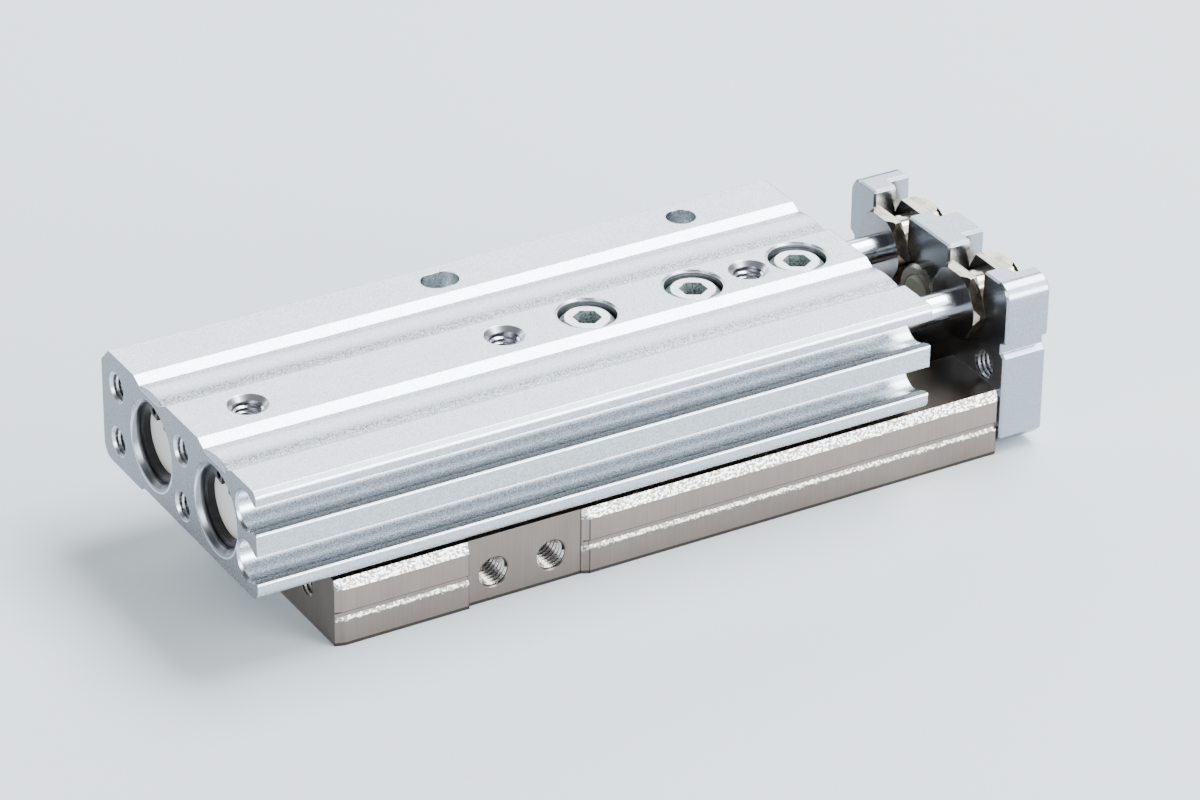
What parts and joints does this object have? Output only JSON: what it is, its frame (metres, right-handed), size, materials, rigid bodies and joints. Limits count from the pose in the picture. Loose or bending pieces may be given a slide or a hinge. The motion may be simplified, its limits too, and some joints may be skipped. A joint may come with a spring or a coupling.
{
  "type": "pneumatic slide table",
  "caption": "Compact pneumatic slide table: a slim anodised cylinder body whose rods push a roller-guided steel table through an end plate with floating bushings.",
  "frame": {"origin": "centre of the table's outer face, in the middle plane between the bores, with the table out by 8 mm as pictured", "axes": "+X the way the table comes out, from the head end to the end plate; +Y from the switch groove side to the air port side; +Z from the table's outer face to the body's mounting face"},
  "size_m": [0.087, 0.032, 0.0197],
  "materials": {
    "anodised_body": "satin anodised",
    "anodised_plate": "satin anodised",
    "nickel_table": "ground, warm nickel tone",
    "rail_steel": "ground",
    "roller_steel": "polished",
    "cage_resin": "matt",
    "rod_chrome": "hard chrome, polished",
    "piston_alloy": "turned",
    "magnet_black": "sintered",
    "seal_rubber": "matt",
    "bumper_urethane": "matt",
    "cap_resin": "moulded resin",
    "snap_ring_black": "black oxide",
    "screw_zinc": "bright zinc",
    "bushing_bronze": "dark nickel",
    "stopper_steel": "dark nickel"
  },
  "bodies": {
    "cylinder": {"cylinder_body": "anodised_body", "head_cap_near": "cap_resin", "head_cap_far": "cap_resin", "rod_cover_near": "piston_alloy", "rod_cover_far": "piston_alloy", "bore_end_seals": "seal_rubber", "rod_seals": "seal_rubber", "head_snap_rings": "snap_ring_black", "rod_end_snap_rings": "snap_ring_black", "head_bumpers": "bumper_urethane", "rod_bumpers": "bumper_urethane", "guide_rail": "rail_steel", "rail_screws": "screw_zinc"},
    "table": {"slide_table": "nickel_table", "end_plate": "anodised_plate", "plate_screws": "screw_zinc", "piston_near": "piston_alloy", "piston_far": "piston_alloy", "piston_rod_near": "rod_chrome", "piston_rod_far": "rod_chrome", "piston_magnets": "magnet_black", "piston_seals": "seal_rubber", "float_bushing_near": "bushing_bronze", "float_bushing_far": "bushing_bronze", "bushing_nut_near": "bushing_bronze", "bushing_nut_far": "bushing_bronze", "stopper_screw": "stopper_steel", "stopper_pad": "bumper_urethane"},
    "roller_cages": {"roller_cage_near": "cage_resin", "roller_cage_far": "cage_resin", "cross_rollers_near": "roller_steel", "cross_rollers_far": "roller_steel"}
  },
  "joints": [
    {"name": "table_slide", "type": "slide", "parent": "cylinder", "child": "table", "axis": [1, 0, 0], "range_m": [-0.008, 0.032]},
    {"name": "cage_slide", "type": "slide", "parent": "cylinder", "child": "roller_cages", "axis": [1, 0, 0], "range_m": [-0.004, 0.016]}
  ],
  "couplings": [
    {"joint": "cage_slide", "follows": "table_slide", "ratio": 0.5}
  ]
}
